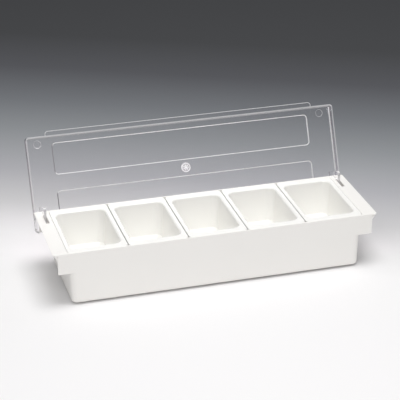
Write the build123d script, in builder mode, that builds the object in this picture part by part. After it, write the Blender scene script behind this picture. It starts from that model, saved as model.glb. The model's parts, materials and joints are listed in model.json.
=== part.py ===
"""Condiment caddy: a drafted tub with end grips, five lift-out inserts in its mouth, and one clear
lid that swings on two hooked arms. Millimetres, +Z up, +Y towards the hinge. The origin is on the
counter, under the middle of the tub. The lid is drawn open, leaning on its stop."""
import os
from math import cos, hypot, radians, sin, tan

from build123d import *

os.makedirs("parts", exist_ok=True)

# Tub
top_length = 500.0        # top plate, end to end
top_width = 148.0         # top plate, front to back
top_height = 87.0         # counter to top plate
plate = 3.0               # top plate and grip lips
wall = 2.5                # body, skirts and floor
draft = 1.0               # degrees, front, back and end walls
foot_gap = 2.5            # air under the tub
grip_length = 25.0        # overhang of the plate at each end, which the hands take hold of
body_corner = 10.0        # upright corners of the body
base_round = 5.0          # edge between the body's walls and its underside
plate_corner = 2.5        # corners of the top plate, seen from above
plate_edge = 0.5          # bevelled top edges of the plate and its openings
skirt_depth = 33.0        # front and back skirts, below the top face
lip_depth = 12.0          # grip lip at each end, below the top face
lip_flare = 6.5           # how far the lip's top edge stands out from its foot
lip_flare_drop = 9.5      # height over which it flares

# Mouth of the tub, and what carries the inserts
ledge_drop = 4.0          # seat ledge, below the top face
ledge_width = 5.0         # ledge at each end of the mouth
mouth_corner = 4.0
rib_thick = 2.4
rib_reach = 5.0           # seat ribs, out from the front and back walls
ribs_per_insert = 2

# Inserts
insert_count = 5
insert_gap = 1.2          # between neighbours
mouth_gap = 0.4           # between a rim and the mouth
seat_gap = 0.3            # between a rim and its seat
insert_depth = 62.0
rim_side = 7.0            # rim, left and right of the pan
rim_end = 11.0            # rim, front and back of the pan
rim_thick = 2.0
rim_edge = 1.8            # turned-down edge of the rim
rim_corner = 4.5
rim_bevel = 0.5           # outer top edge of the rim
brim_bevel = 1.5          # where the rim turns down into the pan
pan_wall = 1.8
pan_draft = 3.0           # degrees
pan_corner = 12.0
pan_bevel = 5.0           # inside the pan, between walls and floor

# Hinge: slots in the top plate, and bars between webs under them
arm_inset = 14.0          # middle of an arm and its slot, from the end of the plate
arm_thick = 4.0
slot_width = 5.0
slot_ahead = 27.8         # slot ends, in front of and behind the hinge axis
slot_behind = 2.2
hinge_inset = 15.2        # hinge axis, in from the back edge of the plate
hinge_drop = 13.4         # hinge axis, below the top face
bar_radius = 3.5
bar_span = 8.0            # free length of a bar between its webs
bar_fit = 0.08            # radial running clearance of an arm's claw on its bar
web_thick = 2.5
web_round = 6.5           # foot of a web, round the bar

# Lid
lid_open = 114.2          # degrees, from shut to the stop
lid_end_gap = 2.0         # how far the lid stays inside the plate, at each end
lid_side_gap = 0.65       # and along the front and back
lid_height = 13.65        # top and walls together
lid_thick = 2.4
lid_wall = 2.0
lid_corner = 5.0
lid_edge = 0.6            # bevelled outer edge of the lid's top
lid_inside = 1.5          # bevel inside the lid, between its top and walls
lid_gap = 0.3             # under the walls when shut, and under the arms when open
swing_gap = 0.6           # between the lid's back corners and the tub as it swings
rear_rim = 3.8            # low rim along the back edge, from the top face
finger_lip = 7.1          # how far the lip stands out in front
finger_lip_edge = 0.8     # bevelled edges of the lip
finger_lip_inset = 32.0   # lip end, from the end of the lid
panel_inset = 40.6        # panel end, from the end of the lid
panel_margin = 12.0       # plain strips along the front and back of the lid
panel_strip = 25.3        # plain strip between the two panels
panel_rise = 1.0
panel_corner = 6.0
panel_slope = 35.0        # degrees, sides of the embossing
pad_diameter = 12.0
pad_rise = 0.8
pad_inset = 19.0          # pad centre, from the end of the lid
disc_diameter = 16.0
disc_thick = 1.2
disc_sink = 0.6
disc_fit = 0.1            # radial gap round the disc

# Hooked arms, in the lid's own frame: forward and up from the hinge axis
arm_front = 25.0          # front edge of an arm
arm_root = 13.0           # width of an arm where it joins the lid
arm_nose = 5.0            # rounding of the arm's far corner
arm_round = 1.0           # rounding of its smaller corners
claw_radius = 7.0         # outside of the claw
claw_mouth = 6.2          # opening that snaps over the bar
stop_reach = 4.0          # how far the stop edge runs past the back of the tub

# Feet
foot_diameter = 16.0
foot_bevel = 0.6
foot_seat = 0.8           # depth of a foot's seat in the underside
foot_fit = 0.2            # radial gap round a foot
foot_inset_x = 24.0       # foot centre, from the end of the body
foot_inset_y = 20.0       # foot centre, from the front or back of the body

# Worked out from the above
slope = tan(radians(draft))
body_length = top_length - 2 * grip_length
body_depth = top_height - foot_gap
mouth_length = body_length + 2 * (ledge_width - wall)
mouth_width = top_width - 2 * wall
ledge_z = top_height - ledge_drop
lip_foot = top_length / 2 - lip_flare
insert_pitch = (mouth_length - 2 * mouth_gap + insert_gap) / insert_count
rim_length = insert_pitch - insert_gap
rim_width = mouth_width - 2 * mouth_gap
rim_drop = ledge_drop - seat_gap
pan_length = rim_length - 2 * rim_side
pan_width = rim_width - 2 * rim_end
arm_x = top_length / 2 - arm_inset
web_x = arm_x + bar_span / 2 + web_thick
hinge_y = top_width / 2 - hinge_inset
hinge_z = top_height - hinge_drop
slot_front = hinge_y - slot_ahead
slot_back = hinge_y + slot_behind
swing = radians(lid_open)
forward = Vector(0, -cos(swing), sin(swing))
up = Vector(0, sin(swing), cos(swing))
lid_length = top_length - 2 * lid_end_gap
lid_width = top_width - 2 * lid_side_gap
lid_top = hinge_drop + lid_gap + lid_height
lid_under = lid_top - lid_thick
lid_middle = hinge_y
panel_width = (lid_width - panel_strip) / 2 - panel_margin
panel_offset = (panel_strip + panel_width) / 2
pad_offset = panel_strip / 2 + panel_width
back_opening = 2 * (web_x + swing_gap)
relief_radius = hypot(hinge_inset, hinge_drop) + swing_gap
shank_back = slot_back - (slot_width - arm_thick) / 2
stop_z = top_height + lid_gap


def lid_plane(level, along=lid_middle):
    """A plane parallel to the lid, so far up and forward from the hinge axis in the lid's frame."""
    origin = Vector(0, hinge_y, hinge_z) + up * level + forward * along
    return Plane(origin=origin, x_dir=(-1, 0, 0), z_dir=up)


def lid_point(along, level):
    """Where a point of the lid's frame lies in the upright plane across the tub."""
    spot = forward * along + up * level
    return hinge_y + spot.Y, hinge_z + spot.Z


def drafted_pan(plane, length, width, corner, depth, angle, ease, amount):
    """A block that hangs below the plane and narrows downwards. Its foot is eased all round, by the
    operation given (fillet or chamfer)."""
    with BuildPart(mode=Mode.PRIVATE) as pan:
        with BuildSketch(plane):
            RectangleRounded(length, width, corner)
        extrude(amount=-depth, taper=angle)
        ease(pan.faces().sort_by(Axis.Z)[0].edges(), amount)
    return pan.part


# Tub
top_plane = Plane.XY.offset(top_height)
rib_outer = top_width / 2 - wall / 2 - body_depth * slope / 2
rib_inner = mouth_width / 2 - rib_reach
foot_x = body_length / 2 - foot_inset_x
foot_y = top_width / 2 - foot_inset_y

with BuildPart() as tub:
    # Plate and grip lips: one bent section from front to back, drafted with the body
    with BuildSketch(Plane.XZ.offset(-top_width / 2)):
        with BuildLine():
            Polyline(
                (-lip_foot, top_height - lip_depth),
                (-lip_foot, top_height - lip_flare_drop),
                (-top_length / 2, top_height),
                (top_length / 2, top_height),
                (lip_foot, top_height - lip_flare_drop),
                (lip_foot, top_height - lip_depth),
            )
            offset(amount=plate, side=Side.RIGHT, kind=Kind.INTERSECTION)
        make_face()
    extrude(amount=top_width)
    with BuildSketch(top_plane):
        Rectangle(top_length + 2 * plate, top_width)
    extrude(amount=-lip_depth - plate, taper=draft, mode=Mode.INTERSECT)
    outer_corners = tub.edges().filter_by(
        lambda e: abs(e.center().X) > lip_foot - 0.1 and abs(e.center().Y) > mouth_width / 2
    )
    fillet(outer_corners, plate_corner)
    # Skirts along the front and back
    for side in (-1, 1):
        with BuildSketch(Plane.YZ):
            with BuildLine():
                Polyline(
                    (side * top_width / 2, top_height),
                    (side * (top_width / 2 - skirt_depth * slope), top_height - skirt_depth),
                    (side * (top_width / 2 - skirt_depth * slope - wall), top_height - skirt_depth),
                    (side * (top_width / 2 - wall), top_height),
                    close=True,
                )
            make_face()
        extrude(amount=web_x, both=True)
    # Body, and the blocks under its end ledges
    add(drafted_pan(top_plane, body_length, top_width, body_corner, body_depth, draft,
                    fillet, base_round))
    with BuildSketch(top_plane):
        Rectangle(mouth_length + 2 * wall, top_width - wall)
    extrude(amount=-ledge_drop - wall)
    # Webs and hinge bars under the slots
    for side in (-1, 1):
        for offset_x in (web_x, web_x - bar_span - web_thick):
            with BuildSketch(Plane.YZ.offset(side * offset_x)):
                with Locations((hinge_y, hinge_z)):
                    Circle(web_round)
                with Locations((hinge_y - web_round, hinge_z)):
                    Rectangle(top_width / 2 - wall / 2 - hinge_y + web_round,
                              hinge_drop - plate / 2, align=(Align.MIN, Align.MIN))
            extrude(amount=-side * web_thick)
    # Well and mouth
    add(
        drafted_pan(top_plane, body_length - 2 * wall, mouth_width, body_corner - wall,
                    body_depth - wall, draft, fillet, base_round),
        mode=Mode.SUBTRACT,
    )
    with BuildSketch(top_plane):
        RectangleRounded(mouth_length, mouth_width, mouth_corner)
    extrude(amount=-ledge_drop, taper=draft, mode=Mode.SUBTRACT)
    # Seat ribs
    rib_pitch = insert_pitch / ribs_per_insert
    for number in range(insert_count * ribs_per_insert):
        rib_x = (number - (insert_count * ribs_per_insert - 1) / 2) * rib_pitch
        for side in (-1, 1):
            with BuildSketch(Plane.XY.offset(ledge_z)):
                with Locations((rib_x, side * (rib_inner + rib_outer) / 2)):
                    Rectangle(rib_thick, rib_outer - rib_inner)
            extrude(amount=-(ledge_z - foot_gap - wall / 2))
    # Slots for the arms
    with BuildSketch(top_plane):
        with Locations(*[(side * arm_x, (slot_front + slot_back) / 2) for side in (-1, 1)]):
            RectangleRounded(slot_width, slot_back - slot_front, slot_width / 5)
    extrude(amount=-plate, mode=Mode.SUBTRACT)
    # Seats for the feet
    with BuildSketch(Plane.XY.offset(foot_gap)):
        with GridLocations(2 * foot_x, 2 * foot_y, 2, 2):
            Circle(foot_diameter / 2 + foot_fit)
    extrude(amount=foot_seat, mode=Mode.SUBTRACT)
    chamfer(tub.faces().sort_by(Axis.Z)[-1].edges(), plate_edge)
    # Hinge bars
    for side in (-1, 1):
        with BuildSketch(Plane.YZ.offset(side * (web_x - web_thick / 2))):
            with Locations((hinge_y, hinge_z)):
                Circle(bar_radius)
        extrude(amount=-side * (bar_span + web_thick))

# Inserts
inserts = []
for number in range(insert_count):
    middle = (number - (insert_count - 1) / 2) * insert_pitch
    rim_plane = Plane(origin=(middle, 0, top_height))
    with BuildPart() as insert:
        with BuildSketch(rim_plane):
            RectangleRounded(rim_length, rim_width, rim_corner)
        extrude(amount=-rim_drop)
        chamfer(insert.faces().sort_by(Axis.Z)[-1].edges(), rim_bevel)
        with BuildSketch(rim_plane.offset(-rim_thick)):
            RectangleRounded(rim_length - 2 * rim_edge, rim_width - 2 * rim_edge,
                             rim_corner - rim_edge)
        extrude(amount=-rim_drop, mode=Mode.SUBTRACT)
        add(drafted_pan(rim_plane.offset(-rim_thick / 2), pan_length + 2 * pan_wall,
                        pan_width + 2 * pan_wall, pan_corner + pan_wall,
                        insert_depth - rim_thick / 2, pan_draft, chamfer, pan_bevel + pan_wall / 2))
        add(drafted_pan(rim_plane, pan_length, pan_width, pan_corner, insert_depth - pan_wall,
                        pan_draft, chamfer, pan_bevel), mode=Mode.SUBTRACT)
        brim = insert.faces().sort_by(Axis.Z)[-1].inner_wires()[0]
        chamfer(brim.edges(), brim_bevel)
    inserts.append(insert.part)

# Lid: a shallow tray with no back wall, embossed top, and corner reliefs for its swing
nose = (-claw_radius - arm_front * forward.Y) / up.Y

with BuildPart() as lip:
    with BuildSketch(lid_plane(lid_top, lid_middle + lid_width / 2)):
        RectangleRounded(lid_length - 2 * finger_lip_inset, 2 * finger_lip, lid_corner)
    extrude(amount=-lid_thick)
    chamfer(lip.faces().filter_by(Axis((0, 0, 0), up)).edges(), finger_lip_edge)

with BuildPart() as lid:
    with BuildSketch(lid_plane(lid_top)):
        RectangleRounded(lid_length, lid_width, lid_corner)
    extrude(amount=-lid_height)
    chamfer(lid.faces().sort_by(Axis((0, 0, 0), up))[-1].edges(), lid_edge)
    with BuildSketch(lid_plane(lid_under)):
        RectangleRounded(lid_length - 2 * lid_wall, lid_width - 2 * lid_wall,
                         lid_corner - lid_wall)
    extrude(amount=-lid_height, mode=Mode.SUBTRACT)
    inside = lid.faces().sort_by_distance(lid_plane(lid_under).origin)[0]
    chamfer(inside.edges(), lid_inside)
    with BuildSketch(lid_plane(lid_top - rear_rim, lid_middle - lid_width / 2)):
        Rectangle(back_opening, 2 * lid_corner)
    extrude(amount=-lid_height, mode=Mode.SUBTRACT)
    for side in (-1, 1):
        with BuildSketch(Plane.YZ.offset(side * back_opening / 2)):
            with Locations((hinge_y, hinge_z)):
                Circle(relief_radius)
        extrude(amount=side * lid_corner, mode=Mode.SUBTRACT)
    # Finger lip, pads and embossed panels
    add(lip.part)
    with BuildSketch(lid_plane(lid_top)):
        with GridLocations(lid_length - 2 * pad_inset, 2 * pad_offset, 2, 2):
            Circle(pad_diameter / 2)
    extrude(amount=pad_rise, taper=panel_slope)
    for level, mode in ((lid_top, Mode.ADD), (lid_under, Mode.SUBTRACT)):
        with BuildSketch(lid_plane(level)):
            with GridLocations(0, 2 * panel_offset, 1, 2):
                RectangleRounded(lid_length - 2 * panel_inset, panel_width, panel_corner)
        extrude(amount=panel_rise, taper=panel_slope, mode=mode)
    with BuildSketch(lid_plane(lid_top)):
        Circle(disc_diameter / 2 + disc_fit)
    extrude(amount=-disc_sink, mode=Mode.SUBTRACT)
    # Hooked arms
    for side in (-1, 1):
        with BuildSketch(Plane.YZ.offset(side * arm_x)) as arm:
            with BuildLine():
                Polyline(
                    lid_point(arm_front, lid_under + lid_thick / 2),
                    lid_point(arm_front, nose),
                    (hinge_y - claw_radius, hinge_z),
                    (shank_back, hinge_z),
                    (shank_back, stop_z),
                    (top_width / 2 + stop_reach, stop_z),
                    lid_point(arm_front - arm_root, lid_under + lid_thick / 2),
                    close=True,
                )
            make_face()
            for corner, rounding in (
                (lid_point(arm_front, nose), arm_nose),
                ((shank_back, stop_z), arm_round),
                ((top_width / 2 + stop_reach, stop_z), arm_round),
            ):
                fillet(arm.vertices().sort_by_distance(corner)[0], rounding)
            with Locations((hinge_y, hinge_z)):
                Circle(claw_radius)
                Circle(bar_radius + bar_fit, mode=Mode.SUBTRACT)
                Rectangle(2 * claw_radius, claw_mouth, align=(Align.MIN, Align.CENTER),
                          mode=Mode.SUBTRACT)
        extrude(amount=arm_thick / 2, both=True)

with BuildPart() as lid_disc:
    with BuildSketch(lid_plane(lid_top - disc_sink)):
        Circle(disc_diameter / 2)
    extrude(amount=disc_thick)

# Feet
feet = {}
for end, side_x in (("left", -1), ("right", 1)):
    for face, side_y in (("front", -1), ("back", 1)):
        with BuildPart() as foot:
            with BuildSketch():
                with Locations((side_x * foot_x, side_y * foot_y)):
                    Circle(foot_diameter / 2)
            extrude(amount=foot_gap + foot_seat)
            chamfer(foot.faces().sort_by(Axis.Z)[0].edges(), foot_bevel)
        feet[f"foot_{face}_{end}"] = foot.part

parts = {"tub": tub.part, "lid": lid.part, "lid_disc": lid_disc.part, **feet}
parts.update({f"insert_{number + 1}": part for number, part in enumerate(inserts)})
for name, part in parts.items():
    part.label = name
    export_step(part, f"parts/{name}.step")
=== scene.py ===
"""Condiment caddy: a white moulded tub with end grips, five lift-out inserts and one clear lid that
swings on two hooked arms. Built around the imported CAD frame, in metres, lid open at rest."""
import json
import math

import bmesh
import bpy
import numpy as np
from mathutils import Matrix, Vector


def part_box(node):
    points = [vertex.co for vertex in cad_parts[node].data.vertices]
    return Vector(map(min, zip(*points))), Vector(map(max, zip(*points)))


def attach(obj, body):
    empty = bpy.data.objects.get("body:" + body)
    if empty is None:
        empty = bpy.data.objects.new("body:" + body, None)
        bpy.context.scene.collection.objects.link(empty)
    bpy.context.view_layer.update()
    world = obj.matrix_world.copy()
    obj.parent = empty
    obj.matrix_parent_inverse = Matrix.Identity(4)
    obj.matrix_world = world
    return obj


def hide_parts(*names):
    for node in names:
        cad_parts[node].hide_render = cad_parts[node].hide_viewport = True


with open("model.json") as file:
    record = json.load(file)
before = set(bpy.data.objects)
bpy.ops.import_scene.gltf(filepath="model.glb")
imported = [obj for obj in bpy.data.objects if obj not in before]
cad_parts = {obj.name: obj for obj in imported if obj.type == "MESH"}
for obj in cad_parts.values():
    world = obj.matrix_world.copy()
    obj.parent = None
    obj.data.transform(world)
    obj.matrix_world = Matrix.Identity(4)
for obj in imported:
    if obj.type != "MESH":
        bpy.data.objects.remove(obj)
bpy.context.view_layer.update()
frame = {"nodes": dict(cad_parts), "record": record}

# Camera. A long lens a little over two metres away, to the left of the caddy's front and well above
# it, so the top, the front and the left end all show.
camera_data = bpy.data.cameras.new("camera")
camera_data.lens = 137.24
camera_data.sensor_width = 36.0
camera_data.clip_start = 0.05
camera_data.clip_end = 60.0
camera = bpy.data.objects.new("camera", camera_data)
bpy.context.scene.collection.objects.link(camera)
camera.location = (-0.5893, -1.9941, 1.0983)
camera.rotation_euler = (math.pi / 2 - 0.44422, 0.0, -0.28351)
bpy.context.scene.camera = camera


# Floor. A pale photographic sweep of paper, white under the caddy and falling off to grey behind it,
# where the studio light no longer reaches. It stands in for the table and is no part of the caddy.
def linear(code):
    """An sRGB hex colour as linear red, green, blue and alpha: the usual curve, channel by channel."""
    channels = [int(code[i:i + 2], 16) / 255 for i in (1, 3, 5)]
    return (*[c / 12.92 if c <= 0.04045 else ((c + 0.055) / 1.055) ** 2.4 for c in channels], 1.0)


def node(tree, kind, links=(), **settings):
    """Adds a node. Settings are its properties, or its input values where the key starts with "in_"
    and goes on with the input's number. Links are (this input, other node, its output)."""
    made = tree.nodes.new(kind)
    for key, value in settings.items():
        if key.startswith("in_"):
            made.inputs[int(key[3:])].default_value = value
        else:
            setattr(made, key, value)
    for own, other, socket in links:
        tree.links.new(other.outputs[socket], made.inputs[own])
    return made


def material(name):
    """An empty material that uses nodes, with its output node."""
    made = bpy.data.materials.new(name)
    made.use_nodes = True
    made.node_tree.nodes.clear()
    return made, made.node_tree, made.node_tree.nodes.new("ShaderNodeOutputMaterial")


def grid_mesh(name, points, closed_u=False, closed_v=False):
    """A mesh over a grid of points, rows by columns: each cell of neighbours is one four-cornered face,
    and a closed direction joins its last line to its first."""
    rows, columns = points.shape[:2]
    index = np.arange(rows * columns).reshape(rows, columns)
    if closed_u:
        index = np.vstack([index, index[:1]])
    if closed_v:
        index = np.hstack([index, index[:, :1]])
    faces = np.stack([index[:-1, :-1], index[:-1, 1:], index[1:, 1:], index[1:, :-1]], -1)
    mesh = bpy.data.meshes.new(name)
    mesh.from_pydata(points.reshape(-1, 3).tolist(), [], faces.reshape(-1, 4).tolist())
    mesh.update()
    return mesh


floor_half = 14.0
across, along = np.meshgrid(np.linspace(-floor_half, floor_half, 9),
                            np.linspace(-floor_half, floor_half, 9))
floor = bpy.data.objects.new(
    "floor", grid_mesh("floor", np.stack([across, along, np.zeros_like(across)], -1)))
bpy.context.scene.collection.objects.link(floor)

sweep, tree, out = material("sweep_paper")
# The paper's colour darkens with its distance behind the caddy, and a little faster towards the right: a
# painted shade where the studio light falls off
place = node(tree, "ShaderNodeTexCoord")
turned = node(tree, "ShaderNodeVectorRotate", [(0, place, 3)], rotation_type="Z_AXIS", in_3=0.44)
parts = node(tree, "ShaderNodeSeparateXYZ", [(0, turned, 0)])
depth = node(tree, "ShaderNodeMapRange", [(0, parts, 1)], in_1=0.0, in_2=1.0)
painted_falloff = node(tree, "ShaderNodeValToRGB", [(0, depth, 0)])
stops = [(0.00, "#F2F1F1"), (0.06, "#ECEBEB"), (0.10, "#E4E2E3"), (0.17, "#CECDCE"), (0.30, "#B2B2B6"),
         (0.47, "#95989B"), (0.62, "#7B7E82"), (0.80, "#5F6064"), (1.00, "#515254")]
while len(painted_falloff.color_ramp.elements) < len(stops):
    painted_falloff.color_ramp.elements.new(0.5)
for element, (position, code) in zip(painted_falloff.color_ramp.elements, stops):
    element.position = position
    element.color = linear(code)
paper = node(tree, "ShaderNodeBsdfDiffuse", [(0, painted_falloff, 0)])
tree.links.new(paper.outputs[0], out.inputs[0])
floor.data.materials.append(sweep)


# Light. A pale studio: a large soft box overhead, a second one low at the front left, and an even
# white room that the glossy plastic and the clear lid pick up.
def soft_box(name, place, aim, width, height, watts):
    """A rectangular area lamp at a place, with its face turned to the aim point."""
    lamp = bpy.data.lights.new(name, "AREA")
    lamp.shape = "RECTANGLE"
    lamp.size, lamp.size_y, lamp.energy = width, height, watts
    holder = bpy.data.objects.new(name, lamp)
    bpy.context.scene.collection.objects.link(holder)
    away = np.array(place) - np.array(aim)
    length = np.linalg.norm(away)
    holder.location = place
    holder.rotation_euler = (math.acos(away[2] / length), 0.0, math.atan2(away[1], away[0]) + math.pi / 2)
    return holder


soft_box("top_box", (0.1, -0.3, 2.3), (0.0, 0.0, 0.0), 1.3, 1.1, 34.0)
soft_box("front_box", (-0.7, -1.75, 1.6), (0.0, 0.0, 0.05), 1.2, 1.0, 12.0)

world = bpy.data.worlds.new("studio")
bpy.context.scene.world = world
world.use_nodes = True
world.node_tree.nodes.clear()
room = node(world.node_tree, "ShaderNodeBackground", in_0=linear("#F2F2F4"), in_1=0.37)
seen = node(world.node_tree, "ShaderNodeBackground", in_0=linear("#E6E6E8"), in_1=1.0)
ray = node(world.node_tree, "ShaderNodeLightPath")
pick = node(world.node_tree, "ShaderNodeMixShader", [(0, ray, 0), (1, room, 0), (2, seen, 0)])
world_out = node(world.node_tree, "ShaderNodeOutputWorld", [(0, pick, 0)])


# Tub. One white ABS moulding: top plate, end lips, skirts, drafted body, seat ribs and the hinge bars.
# Its outside is a fine satin, as the mould's lightly sparked steel leaves it.
def white_plastic(name, colour, shade, rough, grain_mm, grain_depth_mm):
    """Moulded white plastic: base colour drifting a little to a second shade over a few centimetres,
    a satin with faint uneven patches, and a shallow pebbled grain of the given size and depth."""
    made, tree, out = material(name)
    place = node(tree, "ShaderNodeTexCoord")
    drift = node(tree, "ShaderNodeTexNoise", [(0, place, 3)], in_2=1000 / 60, in_3=2.0, in_4=0.5)
    tone = node(tree, "ShaderNodeMix", [(0, drift, 0)], data_type="RGBA",
                in_6=linear(colour), in_7=linear(shade))
    grain = node(tree, "ShaderNodeTexNoise", [(0, place, 3)], in_2=1000 / grain_mm, in_3=2.0, in_4=0.6)
    polish = node(tree, "ShaderNodeMapRange", [(0, drift, 0)], in_1=0.3, in_2=0.7,
                  in_3=rough - 0.02, in_4=rough + 0.03)
    relief = node(tree, "ShaderNodeBump", [(2, grain, 0)], in_0=0.35, in_1=grain_depth_mm / 1000)
    shader = node(tree, "ShaderNodeBsdfPrincipled",
                  [(0, tone, 2), (2, polish, 0), (5, relief, 0)], in_3=1.53)
    tree.links.new(shader.outputs[0], out.inputs[0])
    return made


abs_satin = white_plastic("abs_moulded_satin", "#F9F7F3", "#F6F4F0", 0.34, 1.6, 0.02)
tub = frame["nodes"]["tub"]
tub.data.materials.clear()
tub.data.materials.append(abs_satin)

# Inserts. Five loose white pans, each one pint, moulded thinner than the tub and a little glossier.
# They hang by their rims on the tub's ledges and ribs.
pan_gloss = white_plastic("pan_moulded_gloss", "#FBFAF7", "#FAF9F5", 0.24, 2.0, 0.012)
for number in range(5):
    insert = frame["nodes"][f"insert_{number + 1}"]
    insert.data.materials.clear()
    insert.data.materials.append(pan_gloss)

# Lid. One clear polycarbonate moulding with polished faces: a thin embossed tray, its walls, finger lip
# and the two hooked arms. The slopes of its embossing and its free edges come out of the mould a little
# frosted, so they catch the light as pale lines, and light that runs along a wall leaves it faintly rosy.
hinge = frame["record"]["behaviour"]["joints"][0]
open_angle = -math.radians(hinge["range_deg"][0])
lid_up = np.array([0.0, math.sin(open_angle), math.cos(open_angle)])
lid_forward = np.array([0.0, -math.cos(open_angle), math.sin(open_angle)])
hinge_level = float(np.dot(hinge["pos_m"], lid_up))
hinge_reach = float(np.dot(hinge["pos_m"], lid_forward))
free_edge = 0.0140        # height over the hinge axis at which the lid's walls end
front_wall = 0.1285       # how far in front of the hinge axis the front wall starts
end_wall = 0.2445         # inner side of the end walls, from the middle of the lid
sheet_level = 0.02495     # height over the hinge axis of the underside of the lid's sheet
arm_place = 0.23600         # middle of each arm, from the middle of the lid
arm_half = 0.0020          # half an arm's thickness
arm_front = 0.0250        # how far in front of the hinge axis an arm reaches
lid_middle = 0.0588       # how far in front of the hinge axis the middle of the lid is
panel_offset = 0.0370     # middle of each embossed panel, from the middle of the lid
panel_half = (0.20712, 0.02435)
panel_corner = 0.006
line_inset = 0.0003       # middle of the frosted line, inside the panel's outline
line_half = 0.0007        # half the width of the line

clear, tree, out = material("polycarbonate_clear")
place = node(tree, "ShaderNodeTexCoord")
# How squarely a face lies to the sheet of the lid: near 1 on the sheet, 0 on a wall, between on slopes
lean = node(tree, "ShaderNodeVectorMath", [(0, place, 1)], operation="DOT_PRODUCT", in_1=tuple(lid_up))
flat = node(tree, "ShaderNodeMath", [(0, lean, 1)], operation="ABSOLUTE")
slope = node(tree, "ShaderNodeValToRGB", [(0, flat, 0)])
for position, tone in ((0.50, 0.0), (0.62, 1.0), (0.88, 1.0), (0.95, 0.0)):
    stop = slope.color_ramp.elements.new(position)
    stop.color = (tone, tone, tone, 1.0)
slope.color_ramp.elements[0].color = (0.0, 0.0, 0.0, 1.0)
slope.color_ramp.elements[-1].color = (0.0, 0.0, 0.0, 1.0)
# The free edges of the walls and the narrow faces of the arms: low over the hinge, and not facing the ends
height = node(tree, "ShaderNodeVectorMath", [(0, place, 3)], operation="DOT_PRODUCT", in_1=tuple(lid_up))
low = node(tree, "ShaderNodeMapRange", [(0, height, 1)], in_1=hinge_level + free_edge + 0.0005,
           in_2=hinge_level + free_edge + 0.0001, in_4=0.5)
facing = node(tree, "ShaderNodeSeparateXYZ", [(0, place, 1)])
endways = node(tree, "ShaderNodeMath", [(0, facing, 0)], operation="ABSOLUTE")
narrow = node(tree, "ShaderNodeMapRange", [(0, endways, 0)], in_1=0.6, in_2=0.4)
rim = node(tree, "ShaderNodeMath", [(0, low, 0), (1, narrow, 0)], operation="MULTIPLY")
# The end walls' own edges are polished: they lie outside the arms, and behind the front wall
spot = node(tree, "ShaderNodeSeparateXYZ", [(0, place, 3)])
aside = node(tree, "ShaderNodeMath", [(0, spot, 0)], operation="ABSOLUTE")
inner = node(tree, "ShaderNodeMapRange", [(0, aside, 0)], in_1=end_wall, in_2=end_wall - 0.001)
ahead = node(tree, "ShaderNodeVectorMath", [(0, place, 3)], operation="DOT_PRODUCT",
             in_1=tuple(lid_forward))
front = node(tree, "ShaderNodeMapRange", [(0, ahead, 1)], in_1=hinge_reach + front_wall,
             in_2=hinge_reach + front_wall + 0.001)
frosted_part = node(tree, "ShaderNodeMath", [(0, inner, 0), (1, front, 0)], operation="MAXIMUM")
share = node(tree, "ShaderNodeMapRange", [(0, frosted_part, 0)], in_3=0.6, in_4=1.0)
free_edges = node(tree, "ShaderNodeMath", [(0, rim, 0), (1, share, 0)], operation="MULTIPLY")
# The narrow faces of the arms, up to the sheet
at_arm = node(tree, "ShaderNodeMath", [(0, aside, 0)], operation="COMPARE", in_1=arm_place,
              in_2=arm_half + 0.0004)
by_hinge = node(tree, "ShaderNodeMapRange", [(0, ahead, 1)], in_1=hinge_reach + arm_front + 0.002,
                in_2=hinge_reach + arm_front + 0.001)
under_sheet = node(tree, "ShaderNodeMapRange", [(0, height, 1)], in_1=hinge_level + sheet_level,
                   in_2=hinge_level + sheet_level - 0.0002)
arm_part = node(tree, "ShaderNodeMath", [(0, at_arm, 0), (1, by_hinge, 0)], operation="MULTIPLY")
arm_low = node(tree, "ShaderNodeMath", [(0, arm_part, 0), (1, under_sheet, 0)], operation="MULTIPLY")
arm_narrow = node(tree, "ShaderNodeMath", [(0, arm_low, 0), (1, narrow, 0)], operation="MULTIPLY")
arm_frost = node(tree, "ShaderNodeMath", [(0, arm_narrow, 0)], operation="MULTIPLY", in_1=0.28)
wall_frost = node(tree, "ShaderNodeMath", [(0, free_edges, 0), (1, arm_part, 0)],
                  operation="SUBTRACT", use_clamp=True)
edges = node(tree, "ShaderNodeMath", [(0, wall_frost, 0), (1, arm_frost, 0)], operation="MAXIMUM")
# Inside the front wall the slope is polished too, so one pale line shows there and not two
behind_wall = node(tree, "ShaderNodeMath", [(0, ahead, 1)], operation="COMPARE",
                   in_1=hinge_reach + front_wall + 0.0009, in_2=0.0012)
clean_slope = node(tree, "ShaderNodeMath", [(0, slope, 0), (1, behind_wall, 0)], operation="SUBTRACT",
                   use_clamp=True)
# The outline of an embossed panel, as a distance to a rectangle with round corners: how far a point is
# past the straight part of the sides, along and across, and the length of the two together
along = node(tree, "ShaderNodeMath", [(0, ahead, 1)], operation="SUBTRACT", in_1=hinge_reach + lid_middle)
off_middle = node(tree, "ShaderNodeMath", [(0, along, 0)], operation="ABSOLUTE")
along_panel = node(tree, "ShaderNodeMath", [(0, off_middle, 0)], operation="SUBTRACT", in_1=panel_offset)
off_panel = node(tree, "ShaderNodeMath", [(0, along_panel, 0)], operation="ABSOLUTE")
past_end = node(tree, "ShaderNodeMath", [(0, aside, 0)], operation="SUBTRACT", use_clamp=True,
                in_1=panel_half[0] - panel_corner)
past_side = node(tree, "ShaderNodeMath", [(0, off_panel, 0)], operation="SUBTRACT", use_clamp=True,
                 in_1=panel_half[1] - panel_corner)
past = node(tree, "ShaderNodeCombineXYZ", [(0, past_end, 0), (1, past_side, 0)])
reach = node(tree, "ShaderNodeVectorMath", [(0, past, 0)], operation="LENGTH")
off_line = node(tree, "ShaderNodeMath", [(0, reach, 1)], operation="SUBTRACT",
                in_1=panel_corner - line_inset)
off_line = node(tree, "ShaderNodeMath", [(0, off_line, 0)], operation="ABSOLUTE")
outline = node(tree, "ShaderNodeMapRange", [(0, off_line, 0)], in_1=line_half, in_2=line_half * 0.7)
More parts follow.
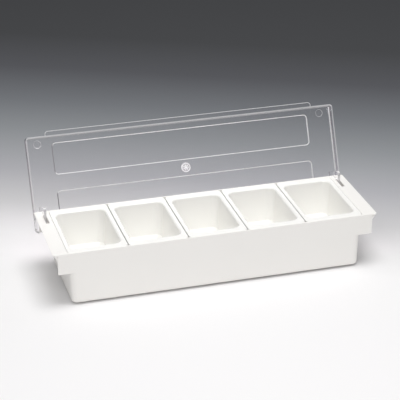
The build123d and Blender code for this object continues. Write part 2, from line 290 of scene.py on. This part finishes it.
# The frost isn't even: it comes and goes a little over a hand's breadth
uneven = node(tree, "ShaderNodeTexNoise", [(0, place, 3)], in_2=1000 / 70, in_3=2.0, in_4=0.5)
strength = node(tree, "ShaderNodeMapRange", [(0, uneven, 0)], in_1=0.35, in_2=0.65, in_3=0.7, in_4=1.0)
line = node(tree, "ShaderNodeMath", [(0, outline, 0), (1, strength, 0)], operation="MULTIPLY")
pale = node(tree, "ShaderNodeMath", [(0, clean_slope, 0), (1, line, 0)], operation="MAXIMUM")
frost = node(tree, "ShaderNodeMath", [(0, edges, 0), (1, pale, 0)], operation="MAXIMUM")
# On the left half the ends of the panel outlines are painted near black, a painted shade, and lose their
# glow; on the right they keep their pale frost
end_part = node(tree, "ShaderNodeMapRange", [(0, past_end, 0)], in_1=panel_corner * 0.75,
                in_2=panel_corner * 0.85)
shaded_left_half = node(tree, "ShaderNodeMapRange", [(0, spot, 0)], in_1=0.0, in_2=-0.01)
painted_dark_end = node(tree, "ShaderNodeMath", [(0, end_part, 0), (1, shaded_left_half, 0)], operation="MULTIPLY")
painted_dark_line = node(tree, "ShaderNodeMath", [(0, painted_dark_end, 0), (1, line, 0)], operation="MULTIPLY")
rough = node(tree, "ShaderNodeMapRange", [(0, frost, 0)], in_3=0.03, in_4=0.35)
through = node(tree, "ShaderNodeMapRange", [(0, frost, 0)], in_3=1.0, in_4=0.12)
# The end walls take a rosy tint where they are seen at a slant, and on the left half that tint is painted
# dark: a painted shade
end_face = node(tree, "ShaderNodeMapRange", [(0, endways, 0)], in_1=0.75, in_2=0.9)
painted_dark_wall = node(tree, "ShaderNodeMath", [(0, shaded_left_half, 0), (1, end_face, 0)], operation="MULTIPLY")
wall_tint_and_painted_shade = node(tree, "ShaderNodeMix", [(0, painted_dark_wall, 0)], data_type="RGBA",
                 in_6=linear("#DCD0D7"), in_7=linear("#725F6B"))
grazing = node(tree, "ShaderNodeLayerWeight", in_0=0.5)
squarely = node(tree, "ShaderNodeMapRange", [(0, grazing, 1)], in_1=0.7, in_2=0.35)
untinted = node(tree, "ShaderNodeMath", [(0, inner, 0), (1, squarely, 0)], operation="MAXIMUM")
tone = node(tree, "ShaderNodeMix", [(0, untinted, 0), (6, wall_tint_and_painted_shade, 2)], data_type="RGBA",
            in_7=linear("#FBFBFC"))
# Painted shade: the ends of the outlines on the left half take a near-black colour
painted_line_tone = node(tree, "ShaderNodeMix", [(0, painted_dark_line, 0), (6, tone, 2)], data_type="RGBA",
                 in_7=linear("#4A434B"))
glassy = node(tree, "ShaderNodeBsdfPrincipled", [(0, painted_line_tone, 2), (2, rough, 0)], in_3=1.585)
tree.links.new(through.outputs[0], glassy.inputs["Transmission Weight"])
# A frosted slope also lets the light on its far side glow through
glow = node(tree, "ShaderNodeBsdfTranslucent", in_0=linear("#FAFAFA"))
bright = node(tree, "ShaderNodeMath", [(0, frost, 0), (1, painted_dark_line, 0)], operation="SUBTRACT",
              use_clamp=True)
glowing = node(tree, "ShaderNodeMath", [(0, bright, 0)], operation="MULTIPLY", in_1=0.5)
moulded = node(tree, "ShaderNodeMixShader", [(0, glowing, 0), (1, glassy, 0), (2, glow, 0)])
# Light passes on to what stands behind the lid, as it does through a clear sheet
passing = node(tree, "ShaderNodeBsdfTransparent", in_0=linear("#F4F2F3"))
ray = node(tree, "ShaderNodeLightPath")
body = node(tree, "ShaderNodeMixShader", [(0, ray, 1), (1, moulded, 0), (2, passing, 0)])
tree.links.new(body.outputs[0], out.inputs[0])
tint = node(tree, "ShaderNodeVolumeAbsorption", in_0=linear("#DCC8D0"), in_1=7.0)
tree.links.new(tint.outputs[0], out.inputs[1])
lid = frame["nodes"]["lid"]
lid.data.materials.clear()
lid.data.materials.append(clear)

# Lid disc. A small pearly disc, pressed into a round seat in the middle of the lid's outer face and seen
# through the clear sheet from inside. It has a ring and a reeded middle, and bears no mark.
disc_low, disc_high = (np.array(corner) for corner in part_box("lid_disc"))
disc_radius = (disc_high[0] - disc_low[0]) / 2
disc_thick = 0.0012       # whole thickness of the disc, as in the frame
disc_lift = 0.0001        # air between the disc and its seat
ring_reach = 0.82         # middle of the ring, as a share of the radius
reeds = 7
disc_relief = 0.0003      # height of the relief over the disc's ground


def disc_face(angle, share):
    """Height of the disc's relief at an angle and a share of the radius: a round ring, and inside it
    reeds like a cosine of the angle, which run together in a dome at the middle."""
    ring = np.exp(-((share - ring_reach) / 0.1) ** 2)
    reeding = (0.5 + 0.5 * np.cos(reeds * angle)) * np.clip((0.62 - share) / 0.1, 0, 1)
    dome = np.exp(-(share / 0.22) ** 2)
    return disc_relief * np.maximum(ring, np.maximum(reeding * np.clip(share / 0.2, 0, 1), dome))


around, outward = np.meshgrid(np.linspace(0, 2 * np.pi, 96, endpoint=False), np.linspace(0, 1, 40),
                              indexing="ij")
relief = disc_face(around, outward)
half = disc_thick / 2 - disc_relief
level = disc_lift + np.hstack([-half - relief, (half + relief)[:, ::-1]])
radius = disc_radius * np.hstack([outward, outward[:, ::-1]])
angle = np.hstack([around, around])
disc_points = ((disc_low + disc_high) / 2 + (radius * np.cos(angle))[..., None] * np.array([1.0, 0.0, 0.0])
               + (radius * np.sin(angle))[..., None] * lid_forward + level[..., None] * lid_up)
disc_mesh = grid_mesh("disc_face", disc_points, closed_u=True)
raised = disc_mesh.attributes.new("raised", "FLOAT", "POINT")
raised.data.foreach_set("value", (np.hstack([relief, relief[:, ::-1]]) / disc_relief).ravel())
edit = bmesh.new()
edit.from_mesh(disc_mesh)
bmesh.ops.remove_doubles(edit, verts=edit.verts, dist=1e-6)
bmesh.ops.recalc_face_normals(edit, faces=edit.faces)
edit.to_mesh(disc_mesh)
edit.free()
disc_mesh.shade_smooth()
disc = bpy.data.objects.new("disc_face", disc_mesh)
bpy.context.scene.collection.objects.link(disc)
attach(disc, "lid")
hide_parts("lid_disc")

disc_pearl_painted_shade, tree, out = material("disc_pearl_plastic")
# The ground between the raised parts is painted grey, a painted shade in the hollows of the relief, and
# the raised parts stay white
height = node(tree, "ShaderNodeAttribute", attribute_name="raised")
tone = node(tree, "ShaderNodeMix", [(0, height, 2)], data_type="RGBA",
            in_6=linear("#A6A4A8"), in_7=linear("#FFFFFF"))
pearl = node(tree, "ShaderNodeBsdfPrincipled", [(0, tone, 2)], in_1=0.1, in_2=0.25, in_3=1.5)
tree.links.new(pearl.outputs[0], out.inputs[0])
disc_mesh.materials.append(disc_pearl_painted_shade)

# Feet. Four small grey rubber buttons, glued in round seats under the body's corners.
rubber, tree, out = material("rubber_grey")
soft = node(tree, "ShaderNodeBsdfPrincipled", in_0=linear("#5A5A5A"), in_2=0.75, in_3=1.5)
tree.links.new(soft.outputs[0], out.inputs[0])
for name in ("foot_front_left", "foot_front_right", "foot_back_left", "foot_back_right"):
    foot = frame["nodes"][name]
    foot.data.materials.clear()
    foot.data.materials.append(rubber)

bpy.context.scene.view_settings.view_transform = "Standard"
